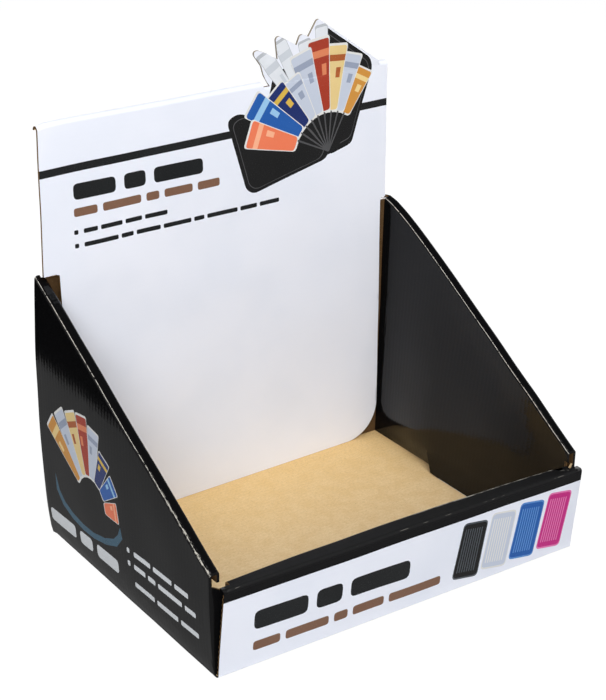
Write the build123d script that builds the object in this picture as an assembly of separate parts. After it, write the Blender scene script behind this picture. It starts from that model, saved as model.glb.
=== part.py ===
"""Counter display stand: an open tray with a tall fold-over header, folded from one blank of thin
corrugated card.

X runs to the viewer's right, Y to the back and Z up. The origin is the middle of the tray's
underside, on the surface that the stand rests on. Lengths are in millimetres.

The blank has a floor with four walls. The front wall and both side walls stand up, turn over at
two creases into a narrow top strip, and come down again inside as a second layer that rests on the
floor. Each side wall also has a corner flap behind the front wall and one in front of the back
wall, and a lock tab that goes down through a slot in the floor. The back wall rises to the top of
the header, folds over in a soft bend and comes down in front as the header panel. A stepped
picture outline is cut in the back wall just under the bend, so it stays flat on the header panel
and stands up above the bend, and its mirrored hole is left behind in the back wall.
"""

import os
from dataclasses import dataclass
from math import atan2, cos, degrees, hypot, pi, radians, tan

from build123d import *

# Card
board = 1.6  # thickness of the corrugated card
rest_gap = 0.2  # air between two layers that lie against each other
fold_inside = 0.8  # inside radius of the folds at the floor
crease_inside = 0.3  # inside radius of the creases of the turned-over walls

# Tray
width = 242.0  # outside, at the floor
depth = 190.0  # outside, at the floor

# Front wall
front_height = 55.2
front_lean = 5.0  # how far the top of the front wall springs forwards
front_strip = 10.3  # top strip, front to back
front_foot = 9.0  # outside of the wall to the inside of its inner layer, at the floor
front_width = 242.6  # its outer layer, end to end
front_shift = 1.0  # the front wall sits this much to the right
front_inner_gap = 5.4  # each end of the inner layer to the outside of the tray
front_inner_corner = 6.0  # rounding at the foot of the inner layer

# Side walls
side_front_height = 63.8
side_back_height = 165.4
side_strip = 6.5  # top strip, left to right
side_foot = 5.1  # outside of the wall to the inside of its inner layer, at the floor
left_flare_front = 6.0  # how far the top of the left wall springs outwards, at the front
left_flare_back = 2.9
right_flare_front = 2.4
right_flare_back = 2.6
side_notch_height = 57.4  # the inner layer is cut back up to here to clear the front wall

# Corner flaps
flap_length = 58.0
flap_front_height = 56.0  # at the corner crease
flap_front_drop = 3.2  # the flap's top edge falls by this to pass under the front strip
flap_floor_gap = 1.6  # foot of a flap to the floor
flap_taper = 4.0  # how much shorter a flap is at its foot

# Lock tabs
tab_inset = 10.3  # outside of the tray to the middle of the tab, at the floor
tab_root_height = 15.0
tab_root_back = 29.0  # back end of the tab's root, along Y
tab_root_front = -52.0
tab_taper = 14.5  # each end of the tab draws in by this towards its tip
tab_tip_height = 0.9  # middle of the card at the tip, above the underside of the floor
slot_clearance = 0.4

# Header
header_height = 254.0  # top of the soft bend
header_fold = 5.45  # front to back over the bend
bend_flat = 0.1  # flat stretch at the top of the bend
header_foot = 11.0  # back of the stand to the front of the header panel, at the floor
header_width = 238.2
header_shift = -0.5  # the header sits this much to the right of the middle
back_width = 232.0  # the back wall is cut narrower than the header that folds over it
shoulder_gap = 0.8  # shoulder of the header panel above the top of the side walls
panel_left = 111.4  # left edge of the narrow part of the header panel, from the middle
panel_right = 114.8  # right edge
panel_corner = 24.5  # rounding of its lower corners
shoulder_round = 1.5

# Raised picture outline: a fan of plain cards and their holder, seen from the front
fan_left = 29.0  # left end of the cut in the bend
fan_right = 110.0
card_corner = 2.2  # rounding of the corners that stand up
card_width = 56.0
fan_overlap = 3.0  # how far the outline reaches down into the header panel


@dataclass(frozen=True)
class FanCard:
    """One card of the raised outline, placed by its top left corner."""

    left: float  # from the middle of the stand
    rise: float  # above the foot of the bend
    slope: float  # fall of the top edge to the right, in degrees
    lean: float  # how far the left edge moves to the right for each unit of fall


fan_cards = [
    FanCard(left=22.6, rise=24.2, slope=29.0, lean=0.43),
    FanCard(left=36.4, rise=31.0, slope=31.0, lean=0.12),
    FanCard(left=54.2, rise=28.4, slope=25.0, lean=-0.42),
    FanCard(left=66.2, rise=36.0, slope=35.4, lean=-0.62),
]

cut_past = 1.0  # how far a cut runs past the face it starts from

# Values worked out from the sizes above
half_width = width / 2
half_depth = depth / 2
fold_radius = fold_inside + board / 2  # middle of the card
crease_radius = crease_inside + board / 2
fold_reach = fold_radius + board  # from the outside of a fold to flat floor
front_y = -half_depth + board + rest_gap  # outside of the front corner flaps
back_y = half_depth - board - rest_gap  # outside of the back corner flaps
shoulder_height = side_back_height + shoulder_gap
foot_height = board + rest_gap  # where the inner layers and the header panel end
cut_floor = board + rest_gap / 2  # cuts stop between the floor and what stands on it
tab_middle = (tab_root_back + tab_root_front) / 2
bend_radius = (header_fold - board - bend_flat) / 2
bend_foot = header_height - board / 2 - bend_radius
header_split = half_depth - header_fold / 2  # between the header panel and the back wall
fan_middle = (fan_left + fan_right) / 2
fan_width = fan_right - fan_left


def ribbon(points, radii, plane):
    """Outline of bent card whose middle follows points, with a rounded bend at each inner point."""
    directions = []
    for (x0, y0), (x1, y1) in zip(points, points[1:]):
        length = hypot(x1 - x0, y1 - y0)
        directions.append(((x1 - x0) / length, (y1 - y0) / length))
    sides = {}
    rounds = {}
    for hand in (1, -1):
        reach = hand * board / 2
        edge = []
        for i, (x, y) in enumerate(points):
            before = directions[max(i - 1, 0)]
            after = directions[min(i, len(directions) - 1)]
            share = reach / (1 + before[0] * after[0] + before[1] * after[1])
            edge.append((x - share * (before[1] + after[1]), y + share * (before[0] + after[0])))
        turns = [a[0] * b[1] - a[1] * b[0] for a, b in zip(directions, directions[1:])]
        inner = [r - reach if turn > 0 else r + reach for r, turn in zip(radii, turns)]
        sides[hand] = edge
        rounds[hand] = [0.0, *inner, 0.0]
    outline = [*sides[1], *reversed(sides[-1])]
    corners = [*rounds[1], *reversed(rounds[-1])]
    line = FilletPolyline(*outline, radius=corners, close=True)
    return plane * make_face(line)


def across(y):
    """Plane that faces the front at the given Y, with X to the right and Z up."""
    return Plane(origin=(0, y, 0), x_dir=(1, 0, 0), z_dir=(0, -1, 0))


def along(x):
    """Plane that faces right at the given X, with Y and Z as its own directions."""
    return Plane(origin=(x, 0, 0), x_dir=(0, 1, 0), z_dir=(1, 0, 0))


def between(profile, y_from, y_to):
    """Solid of a profile drawn in X and Z, from one Y to another."""
    return extrude(across(y_to) * profile, amount=y_to - y_from)


class SideWall:
    """Turned-over side wall with its two corner flaps and lock tab, built on the right."""

    def __init__(self, flare_front, flare_back):
        self.flare_front = flare_front
        self.flare_back = flare_back

    def share(self, y):
        """How far along the wall a Y is: 0 at the back, 1 at the front."""
        return (back_y - y) / (back_y - front_y)

    def height(self, y):
        """Top of the wall at a Y."""
        return side_back_height - (side_back_height - side_front_height) * self.share(y)

    def flare(self, y):
        """How far the top of the wall springs outwards at a Y."""
        return self.flare_back + (self.flare_front - self.flare_back) * self.share(y)

    def middle_line(self, y):
        """Middle of the card at a Y: floor, fold, outer layer, strip, inner layer and foot."""
        top = self.height(y) - board / 2
        out = half_width + self.flare(y) - board / 2
        return [
            (half_width - fold_reach, board / 2),
            (half_width - board / 2, board / 2),
            (out, top),
            (out - side_strip + board, top),
            (half_width - side_foot + board / 2, foot_height),
        ]

    def outer_x(self, y, z):
        """Middle of the outer layer."""
        _, (x0, z0), (x1, z1), _, _ = self.middle_line(y)
        return x0 + (x1 - x0) * (z - z0) / (z1 - z0)

    def inner_x(self, y, z):
        """Middle of the inner layer."""
        _, _, _, (x1, z1), (x0, z0) = self.middle_line(y)
        return x0 + (x1 - x0) * (z - z0) / (z1 - z0)

    def hollow_x(self, y, z):
        """Middle of the hollow between the layers."""
        return (self.outer_x(y, z) + self.inner_x(y, z)) / 2

    def inboard(self, y, z_from, z_to):
        """Profile that takes in the inner layer at a Y between two heights, and not the outer."""
        clear = min(self.inner_x(y, z_from), self.inner_x(y, z_to)) - board - cut_past
        return make_face(
            Polyline(
                (clear, z_from),
                (self.hollow_x(y, z_from), z_from),
                (self.hollow_x(y, z_to), z_to),
                (clear, z_to),
                close=True,
            )
        )

    def walls(self):
        """Both layers and the strip, cut back at the front, at the back and above the tab."""
        radii = [fold_radius, crease_radius, crease_radius]
        ends = [ribbon(self.middle_line(y), radii, across(y)) for y in (back_y, front_y)]
        body = loft(ends, ruled=True)
        front = self.inboard(front_y, cut_floor, side_notch_height)
        back = self.inboard(back_y, cut_floor, side_back_height + cut_past)
        under = self.inboard(tab_middle, cut_floor, tab_root_height)
        body -= between(front, front_y - cut_past, -half_depth + front_foot + rest_gap)
        body -= between(back, back_y - board - rest_gap, back_y + cut_past)
        return body - between(under, tab_root_front, tab_root_back)

    def tab(self):
        """Lock tab, bent inwards from the inner layer and down into the floor slot."""
        root_x = self.inner_x(tab_middle, tab_root_height)
        tip_x = half_width - tab_inset
        rise = tab_root_height - tab_tip_height
        length = hypot(root_x - tip_x, rise)
        facing = (rise / length, 0, (tip_x - root_x) / length)
        plane = Plane(origin=(tip_x, 0, tab_tip_height), x_dir=(0, 1, 0), z_dir=facing)
        outline = make_face(
            Polyline(
                (tab_root_front + tab_taper, 0),
                (tab_root_back - tab_taper, 0),
                (tab_root_back, length),
                (tab_root_back, length + board / 2),
                (tab_root_front, length + board / 2),
                (tab_root_front, length),
                close=True,
            )
        )
        return extrude(plane * outline, amount=board / 2, both=True)

    def slot(self):
        """Room in the floor for the tab."""
        tip_x = half_width - tab_inset
        rise = tab_root_height - tab_tip_height
        lean = (self.inner_x(tab_middle, tab_root_height) - tip_x) / rise
        half_card = board / 2 * hypot(1, lean) + slot_clearance
        x_from = tip_x - lean * tab_tip_height - half_card
        x_to = tip_x + lean * board + half_card
        # The tab widens a little from its tip to the top of the floor
        narrowing = tab_taper * (1 - board / rise) - slot_clearance
        run = tab_root_back - tab_root_front - 2 * narrowing
        place = Pos((x_from + x_to) / 2, tab_middle, board / 2)
        return place * Box(x_to - x_from, run, board + 2 * cut_past)

    def front_flap(self):
        """Flap behind the front wall, with the corner of its top edge cut down."""
        low = foot_height + flap_floor_gap
        inner = half_width - flap_length
        dropped = flap_front_height - flap_front_drop
        profile = make_face(
            Polyline(
                (self.outer_x(front_y, low), low),
                (self.outer_x(front_y, flap_front_height), flap_front_height),
                (half_width - board, dropped),
                (inner, dropped),
                (inner + flap_taper, low),
                close=True,
            )
        )
        return between(profile, front_y, front_y + board)

    def back_flap(self):
        """Flap in front of the back wall, up to the underside of the strip."""
        low = foot_height + flap_floor_gap
        inner = half_width - flap_length
        top = self.height(back_y - board) - board - rest_gap
        profile = make_face(
            Polyline(
                (self.outer_x(back_y, low), low),
                (self.outer_x(back_y, top), top),
                (inner + flap_taper, top),
                (inner, top - flap_taper),
                (inner, low + flap_taper),
                (inner + flap_taper, low),
                close=True,
            )
        )
        return between(profile, back_y - board, back_y)

    def build(self):
        """The whole side, still on the right."""
        return self.walls() + self.tab() + self.front_flap() + self.back_flap()


def floor_plate(slots):
    """Flat floor between the folds, with its slots."""
    flat_x = half_width - fold_reach
    flat_y = half_depth - fold_reach
    plate = Pos(0, 0, board / 2) * Box(2 * flat_x, 2 * flat_y, board)
    for slot in slots:
        plate -= slot
    return plate


def front_wall():
    """Front wall, turned over into its strip and inner layer, with the inner layer cut narrower."""
    top = front_height - board / 2
    line = [
        (-half_depth + fold_reach, board / 2),
        (-half_depth + board / 2, board / 2),
        (-half_depth - front_lean + board / 2, top),
        (-half_depth - front_lean + front_strip - board / 2, top),
        (-half_depth + front_foot - board / 2, foot_height),
    ]
    section = ribbon(line, [fold_radius, crease_radius, crease_radius], along(0))
    wall = extrude(section, amount=front_width / 2, both=True)
    start = (line[2][0] + line[3][0]) / 2
    narrow = half_width - front_inner_gap
    # Seen from the front: what is cut off each end of the strip's back half and the inner layer
    waste = make_face(
        Polyline(
            (narrow, cut_floor),
            (narrow, front_height + cut_past),
            (front_width / 2 + cut_past, front_height + cut_past),
            (front_width / 2 + cut_past, cut_floor),
            close=True,
        )
    )
    corner = Pos(narrow - front_inner_corner / 2, cut_floor + front_inner_corner / 2)
    centre = Pos(narrow - front_inner_corner, cut_floor + front_inner_corner)
    square = corner * Rectangle(front_inner_corner, front_inner_corner)
    waste += square - centre * Circle(front_inner_corner)
    cut = between(waste, start, 0)
    wall = wall - cut - mirror(cut, about=Plane.YZ)
    return Pos(front_shift, 0, 0) * wall


def card_outline(card):
    """One card of the fan, as far down as its overlap with the header panel."""
    fall = tan(radians(card.slope))
    full = card_width * cos(radians(card.slope))
    low = -fan_overlap
    drop = card.rise - low
    points = [(card.left, card.rise)]
    if full * fall < drop:
        points += [(card.left + full, card.rise - full * fall), (card.left + full, low)]
    else:
        points += [(card.left + drop / fall, low)]
    foot = (card.left + card.lean * drop, low)
    corners = [card_corner] + [0.0] * len(points)
    return make_face(FilletPolyline(*points, foot, radius=corners, close=True))


def fan_outline():
    """Outline of the cards above the bend, with its overlap, in X and height above the bend's foot."""
    cards = card_outline(fan_cards[0])
    for card in fan_cards[1:]:
        cards += card_outline(card)
    above = Pos(fan_middle, header_height / 2) * Rectangle(width, header_height)
    overlap = Pos(fan_middle, -fan_overlap / 2) * Rectangle(fan_width, fan_overlap)
    return (cards & above) + overlap


def header_sheet():
    """Back wall, soft bend and header panel at their full width."""
    top = header_height - board / 2
    line = [
        (half_depth - fold_reach, board / 2),
        (half_depth - board / 2, board / 2),
        (half_depth - board / 2, top),
        (half_depth - header_fold + board / 2, top),
        (half_depth - header_foot + board / 2, foot_height),
    ]
    section = ribbon(line, [fold_radius, bend_radius, bend_radius], along(0))
    return Pos(header_shift, 0, 0) * extrude(section, amount=header_width / 2, both=True)


def beside_panel(hand, edge):
    """What is cut off the header panel below one shoulder, seen from the front."""
    inner = hand * edge
    waste = make_face(
        Polyline(
            (inner, cut_floor),
            (inner, shoulder_height),
            (hand * (half_width + cut_past), shoulder_height),
            (hand * (half_width + cut_past), cut_floor),
            close=True,
        )
    )
    shoulder = min(waste.vertices(), key=lambda v: abs(v.X) - v.Y)
    waste = fillet(shoulder, shoulder_round)
    corner = Pos(hand * (edge - panel_corner / 2), cut_floor + panel_corner / 2)
    centre = Pos(hand * (edge - panel_corner), cut_floor + panel_corner)
    return waste + (corner * Rectangle(panel_corner, panel_corner) - centre * Circle(panel_corner))


def beside_back(hand):
    """What is cut off one edge of the back wall, from the floor up to the bend."""
    waste_width = (width - back_width) / 2 + cut_past
    waste_height = bend_foot + cut_past
    middle = hand * (back_width + waste_width) / 2
    waste = Pos(middle, bend_foot - waste_height / 2) * Rectangle(waste_width, waste_height)
    return between(waste, half_depth - fold_reach, half_depth + cut_past)


def header():
    """Back wall and header panel, with the raised outline and the hole it leaves."""
    sheet = header_sheet()
    for hand, edge in ((-1, panel_left), (1, panel_right)):
        sheet -= between(beside_panel(hand, edge), 0, header_split)
        sheet -= beside_back(hand)

    # The outline stands up out of the bend, so the bend is open there and the back wall has its hole
    bend_length = pi * bend_radius + bend_flat
    hole = Pos(0, bend_foot + bend_length) * mirror(fan_outline(), about=Plane.XZ)
    hole &= Pos(0, bend_foot / 2) * Rectangle(2 * width, bend_foot)
    opening = Pos(fan_middle, header_height) * Rectangle(fan_width, 2 * (header_height - bend_foot))
    sheet -= between(hole, header_split, half_depth + cut_past)
    sheet -= between(opening, 0, half_depth + cut_past)

    front = half_depth - header_fold + board / 2
    panel_height = header_height - board / 2 - foot_height
    lean = degrees(atan2(header_foot - header_fold, panel_height))
    raised = extrude(across(0) * fan_outline(), amount=board / 2, both=True)
    return sheet + Pos(0, front, bend_foot) * Rot(lean, 0, 0) * raised


def display_stand():
    """The whole folded sheet."""
    right = SideWall(right_flare_front, right_flare_back)
    left = SideWall(left_flare_front, left_flare_back)
    right_wall = right.build()
    left_wall = mirror(left.build(), about=Plane.YZ)
    slots = [right.slot(), mirror(left.slot(), about=Plane.YZ)]
    return floor_plate(slots) + right_wall + left_wall + front_wall() + header()


def main():
    """Build the stand and write it."""
    stand = display_stand()
    os.makedirs("parts", exist_ok=True)
    export_step(stand, "parts/display_stand.step")


main()
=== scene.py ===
"""Looks of a folded card counter stand: its sheet, its inks, its cut edges and the studio round it.

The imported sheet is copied, cut into a fine grid, printed with plain shapes and bent by the small
bows that a folded card stand has. Lengths inside this file are millimetres in the part's own frame,
+X to the viewer's right, +Y to the back and +Z up. Meshes and lamps are written in metres.
"""

import logging
import math
from dataclasses import dataclass, field
from enum import IntEnum

import bmesh
import bpy
import numpy as np
from mathutils import Matrix, Vector, noise

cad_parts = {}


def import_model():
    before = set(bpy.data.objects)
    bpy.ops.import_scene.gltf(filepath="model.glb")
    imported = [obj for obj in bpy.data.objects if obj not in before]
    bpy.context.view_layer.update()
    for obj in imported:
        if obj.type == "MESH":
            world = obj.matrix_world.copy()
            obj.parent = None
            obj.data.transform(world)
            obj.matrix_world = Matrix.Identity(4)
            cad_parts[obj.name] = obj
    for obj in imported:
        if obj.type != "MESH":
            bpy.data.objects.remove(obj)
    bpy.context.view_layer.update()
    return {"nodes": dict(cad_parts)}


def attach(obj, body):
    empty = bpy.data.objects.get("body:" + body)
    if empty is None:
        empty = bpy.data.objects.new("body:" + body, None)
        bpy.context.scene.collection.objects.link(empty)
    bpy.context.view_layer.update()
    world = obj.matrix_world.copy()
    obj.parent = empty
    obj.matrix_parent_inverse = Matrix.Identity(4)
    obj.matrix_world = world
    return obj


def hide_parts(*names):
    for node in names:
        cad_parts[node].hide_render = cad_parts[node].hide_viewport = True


LOG = logging.getLogger("stand")
MM = 0.001
NODE = "display_stand"

Point2 = tuple[float, float]
Colour = tuple[float, float, float]
WHITE: Colour = (1.0, 1.0, 1.0)
BLACK: Colour = (0.0, 0.0, 0.0)


class Side(IntEnum):
    """Which side of the card a face belongs to."""

    PRINT = 1
    LINER = 2
    CUT = 3


class Panel(IntEnum):
    """Printed panels that carry shapes."""

    NONE = 0
    HEADER = 1
    FRONT = 2
    LEFT = 3


def linear(red: float, green: float, blue: float) -> Colour:
    """Turn a screen colour of 0 to 255 into the linear one that a shader takes.

    Args:
        red: Red of the screen colour.
        green: Green of the screen colour.
        blue: Blue of the screen colour.

    Returns:
        The linear colour.
    """
    shares = [channel / 255 for channel in (red, green, blue)]
    return tuple(s / 12.92 if s <= 0.04045 else ((s + 0.055) / 1.055) ** 2.4 for s in shares)


def smooth(low: float, high: float, value: np.ndarray) -> np.ndarray:
    """Rise smoothly from 0 at low to 1 at high; high may be the smaller."""
    share = np.clip((value - low) / (high - low), 0, 1)
    return share * share * (3 - 2 * share)


class Graph:
    """One material's node tree, with a method that adds any node."""

    def __init__(self, name: str) -> None:
        """Make an empty material of that name."""
        self.material = bpy.data.materials.new(name)
        self.material.use_nodes = True
        self.tree = self.material.node_tree
        self.tree.nodes.clear()

    def add(self, kind: str, settings: dict | None = None, output: int | str = 0, **inputs) -> "Term":
        """Add a node, set it up and give one of its outputs.

        Args:
            kind: The node's type, such as ShaderNodeTexNoise.
            settings: The node's own properties, set before its sockets.
            output: Number or name of the output that is wanted.
            **inputs: Values or links by socket name, with _ for a space, or in0, in1 for a number.

        Returns:
            The output as a term.
        """
        node = self.tree.nodes.new(kind)
        for key, value in (settings or {}).items():
            setattr(node, key, value)
        for key, value in inputs.items():
            if key[:2] == "in" and key[2:].isdigit():
                socket = node.inputs[int(key[2:])]
            else:
                socket = node.inputs[key.replace("_", " ")]
            self.link(value, socket)
        return Term(self, node.outputs[output])

    def link(self, value: "Term | float | tuple", socket: bpy.types.NodeSocket) -> None:
        """Set a socket to a value, or link a term to it."""
        if isinstance(value, Term):
            self.tree.links.new(value.socket, socket)
        elif isinstance(value, tuple) and len(value) == 3 and socket.type == "RGBA":
            socket.default_value = (*value, 1.0)
        else:
            socket.default_value = value

    def rest(self) -> tuple["Term", "Term", "Term"]:
        """Where a point lay before the card was bowed, as X, Y and Z in millimetres."""
        place = self.add("ShaderNodeAttribute", {"attribute_name": "rest"}, "Vector")
        split = self.add("ShaderNodeSeparateXYZ", in0=place)
        node = split.socket.node
        return tuple(Term(self, node.outputs[i]) * (1 / MM) for i in range(3))

    def vector(self, x: "Term | float", y: "Term | float", z: "Term | float") -> "Term":
        """Join three numbers into a vector."""
        return self.add("ShaderNodeCombineXYZ", in0=x, in1=y, in2=z)

    def noise(self, place: "Term", scale: float, detail: float = 2.0, rough: float = 0.5) -> "Term":
        """Smooth noise from 0 to 1 at a place, with its scale in cells for each unit of the place."""
        return self.add(
            "ShaderNodeTexNoise", None, 0, Vector=place, Scale=scale, Detail=detail, Roughness=rough
        )

    def mix(self, share: "Term | float", low: "Term | Colour", high: "Term | Colour") -> "Term":
        """Blend two colours, from low at 0 to high at 1."""
        node = self.tree.nodes.new("ShaderNodeMix")
        node.data_type = "RGBA"
        node.clamp_factor = True
        self.link(share, node.inputs[0])
        self.link(low, node.inputs[6])
        self.link(high, node.inputs[7])
        return Term(self, node.outputs[2])

    def bump(self, height: "Term", distance: float) -> "Term":
        """Normal that a height gives, where a height of 1 stands for a distance in millimetres."""
        return self.add("ShaderNodeBump", None, 0, Strength=1.0, Distance=distance * MM, Height=height)

    def finish(self, **inputs) -> bpy.types.Material:
        """End the tree in a Principled shader with these inputs, and give the material."""
        shader = self.add("ShaderNodeBsdfPrincipled", None, 0, **inputs)
        out = self.tree.nodes.new("ShaderNodeOutputMaterial")
        self.tree.links.new(shader.socket, out.inputs["Surface"])
        return self.material


class Term:
    """A value in a material's tree. Arithmetic on it adds Math nodes."""

    def __init__(self, graph: Graph, socket: bpy.types.NodeSocket) -> None:
        """Wrap one output socket of a graph."""
        self.graph = graph
        self.socket = socket

    def math(self, operation: str, *others: "Term | float", first: bool = True) -> "Term":
        """Add one Math node.

        Args:
            operation: The Math node's operation.
            *others: The other values it takes.
            first: Whether this term is the node's first value.

        Returns:
            The result.
        """
        values = [self, *others] if first else [*others, self]
        inputs = {f"in{i}": value for i, value in enumerate(values)}
        return self.graph.add("ShaderNodeMath", {"operation": operation}, 0, **inputs)

    def __add__(self, other: "Term | float") -> "Term":
        """Sum."""
        return self.math("ADD", other)

    def __sub__(self, other: "Term | float") -> "Term":
        """Difference."""
        return self.math("SUBTRACT", other)

    def __rsub__(self, other: float) -> "Term":
        """Difference from a number."""
        return self.math("SUBTRACT", other, first=False)

    def __mul__(self, other: "Term | float") -> "Term":
        """Product."""
        return self.math("MULTIPLY", other)

    def __abs__(self) -> "Term":
        """Size without sign."""
        return self.math("ABSOLUTE")

    __radd__ = __add__
    __rmul__ = __mul__

    def most(self, other: "Term | float") -> "Term":
        """The larger of two values."""
        return self.math("MAXIMUM", other)

    def sine(self, length: float) -> "Term":
        """Sine wave of that length along the value."""
        return (self * (2 * math.pi / length)).math("SINE")

    def ramp(self, low: float, high: float) -> "Term":
        """Rise smoothly from 0 at low to 1 at high; high may be the smaller."""
        settings = {"interpolation_type": "SMOOTHSTEP", "clamp": True}
        if low < high:
            return self.graph.add("ShaderNodeMapRange", settings, 0, in0=self, in1=low, in2=high)
        return 1.0 - self.graph.add("ShaderNodeMapRange", settings, 0, in0=self, in1=high, in2=low)


@dataclass(frozen=True)
class Card:
    """Driving sizes of the folded sheet, as the solid has them.

    The side walls' inner layers lie between inner_near and inner_far from the middle, the corner
    flaps beyond flap_end, and the raised outline above outline_foot.
    """

    board: float = 1.6
    width: float = 242.0
    depth: float = 190.0
    side_front: float = 63.8
    side_back: float = 165.4
    side_strip: float = 6.5
    front_height: float = 55.2
    front_lean: float = 5.0
    front_strip: float = 10.3
    front_foot: float = 9.0
    left_flare: Point2 = (6.0, 2.9)
    right_flare: Point2 = (2.4, 2.6)
    header_height: float = 254.0
    header_foot: float = 11.0
    header_fold: float = 5.45
    rest_gap: float = 0.2
    header_left: float = -119.6
    shoulder: float = 166.2
    tab_top: float = 15.0
    tab_middle: float = -11.5
    tab_half: float = 40.5
    tab_taper: float = 14.5
    band_low: float = 47.6
    flute_pitch: float = 3.3
    inner_near: float = 108.0
    inner_far: float = 118.9
    flap_end: float = 60.0
    outline_foot: float = 255.0

    @property
    def half_width(self) -> float:
        """Middle to the outside of a side wall, at the floor."""
        return self.width / 2

    @property
    def half_depth(self) -> float:
        """Middle to the outside of the front or back wall, at the floor."""
        return self.depth / 2

    @property
    def wall_back(self) -> float:
        """Back end of the side walls."""
        return self.half_depth - self.board - self.rest_gap

    def header_front(self, z: np.ndarray) -> np.ndarray:
        """Front face of the header panel at a height, as Y."""
        share = z / self.header_height
        return self.half_depth - self.header_foot + share * (self.header_foot - self.header_fold)


@dataclass(frozen=True)
class Bows:
    """Small bows and twists of the folded card, which the flat solid leaves out."""

    card: Card = Card()
    left_back: float = 4.4
    left_front: float = 1.3
    left_tuck: float = 1.3
    swell_foot: float = 0.06
    swell_low: float = 0.72
    swell_rise: float = 0.9
    swell_end: float = 2.2
    foot_back: float = 0.6
    foot_front: float = 1.7
    right_crest: float = 5.6
    right_mid: float = 0.4
    crest_place: float = 0.42
    front_out: float = 0.3
    front_twist: float = 0.7
    flap_clear: float = 2.3
    twist: float = 4.45
    twist_middle: float = 0.15
    ear_low: float = -1.9
    ear_high: float = 0.9
    corner_drop: float = 1.3
    right_corner: float = 0.15
    crown_depth: float = 14.0
    strip_middle: float = 1.7
    strip_left: float = -1.5
    strip_right: float = -2.3
    tab_shoulder: float = 7.0
    tab_swell: float = 6.0
    tab_press: float = 1.0
    inner_reach: float = 5.6
    tip_out: float = 3.6
    tip_foot: float = 1.3
    tip_rise: float = 1.6
    crease_swell: float = 0.5
    flap_drop: float = 1.7
    ripple: float = 0.16
    ripple_cell: float = 34.0
    calm_height: float = 12.0
    ripple_seed: int = 7
    ripple_from: Vector = field(default_factory=lambda: Vector((3.7, 11.2, 5.9)))

    def move(self, points: np.ndarray) -> np.ndarray:
        """Bend points of the flat-panelled sheet into their bowed places.

        Args:
            points: Places in millimetres, one row each.

        Returns:
            The bowed places, in the same order.
        """
        x, y, z = points.T
        moved = points.copy()
        header, side, front_flap, front = self.regions(x, y, z)
        moved[:, 0] += np.where(side | front_flap, self.side_shift(x, y, z), 0.0)
        moved[:, 0] += self.foot_shift(x, y, z)
        moved[:, 0] += np.where(z > self.card.shoulder - 0.5, self.ear_shift(x, z), 0.0)
        moved[:, 1] += np.where(header, self.header_shift(x, z), 0.0)
        moved[:, 1] += np.where(front, self.front_shift(x, y, z), 0.0)
        moved[:, 1] += np.where(front_flap, self.flap_shift(x, z), 0.0)
        moved[:, 0] -= self.tab_swing(x, y, z) * np.sign(x)
        moved[:, 1] += self.tab_shift(x, y, z)
        moved[:, 1] -= self.inner_shift(x, y, z)
        moved[:, 2] -= self.foot_drop(x, y, z)
        moved[:, 0] -= self.tip_shift(x, z)
        moved[:, 2] += self.crown_shift(x, z)
        return moved + self.ripples(points)

    def regions(self, x: np.ndarray, y: np.ndarray, z: np.ndarray) -> tuple[np.ndarray, ...]:
        """Masks of the header panel, the side walls, the front flaps and the front wall."""
        card = self.card
        beside = np.abs(x)
        back = (y > card.wall_back + 0.05) & (y > card.header_front(z) + card.board + 0.3)
        flap = (y > card.wall_back - card.board - 0.1) & ~back & (z < card.side_back)
        header = (y > card.header_front(z) - 0.2) & (beside < 115.1) & ~back & ~flap
        header |= (z > card.side_back + 0.3) & ~back
        front_flap = (y > -card.wall_back - 0.05) & (y < -card.wall_back + card.board + 0.05)
        front_flap &= (z > 3.0) & (z < 56.5) & (beside > card.flap_end)
        front = (y < -card.wall_back - 0.1) | ((y < -card.half_depth + card.front_foot + 0.1) & (z < 57.0))
        front &= ~front_flap
        front &= (beside < 117.5) | (y < -card.wall_back - 0.1)
        side = (beside > card.inner_near) | flap
        side &= ~back & ~header & ~front & ~front_flap & (z > 0.3)
        return header, side, front_flap, front

    def run(self, y: np.ndarray) -> np.ndarray:
        """How far along a side wall a point is, from 0 at the back to 1 at the front."""
        return np.clip((self.card.wall_back - y) / (2 * self.card.wall_back), 0, 1)

    def wall_top(self, y: np.ndarray) -> np.ndarray:
        """Height of a side wall's top edge at a place along it."""
        return self.card.side_back - self.run(y) * (self.card.side_back - self.card.side_front)

    def side_shift(self, x: np.ndarray, y: np.ndarray, z: np.ndarray) -> np.ndarray:
        """How far a point of a side wall moves along X."""
        card = self.card
        run = self.run(y)
        share = np.clip(z / self.wall_top(y), 0, 1)
        swell = self.swell_low + self.swell_rise * share
        swell *= (1 - np.exp(-share / self.swell_foot)) * (1 - share**self.swell_end)
        left = (self.left_back + (self.left_front - self.left_back) * run) * swell
        left -= self.left_tuck * run * share
        crest = np.sin(math.pi * run**self.crest_place)
        right = (self.right_crest * crest + self.right_mid) * share**1.2
        return np.where(x < 0, -left, right)

    def crease(self, z: np.ndarray) -> np.ndarray:
        """How far the card swells out of a floor crease, by height."""
        return self.crease_swell * np.exp(-(((z - 0.8) / 1.1) ** 2))

    def foot_shift(self, x: np.ndarray, y: np.ndarray, z: np.ndarray) -> np.ndarray:
        """How far the foot of the left wall springs out past the floor, with its sharper crease."""
        out = smooth(-115.0, -121.0, x) * smooth(70.0, 0.0, z)
        spring = self.foot_back + (self.foot_front - self.foot_back) * self.run(y)
        crease = self.crease(z)
        back = smooth(93.6, 92.6, y)
        return -(spring + crease) * out * np.where(y > 92.6, back, 1.0)

    def ear_shift(self, x: np.ndarray, z: np.ndarray) -> np.ndarray:
        """How far the left edge of the header's wide part runs out of square."""
        rise = (z - self.card.shoulder) / (self.card.header_height - self.card.shoulder)
        shift = self.ear_low + (self.ear_high - self.ear_low) * rise
        return shift * smooth(-104.0, self.card.header_left, x)

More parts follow.
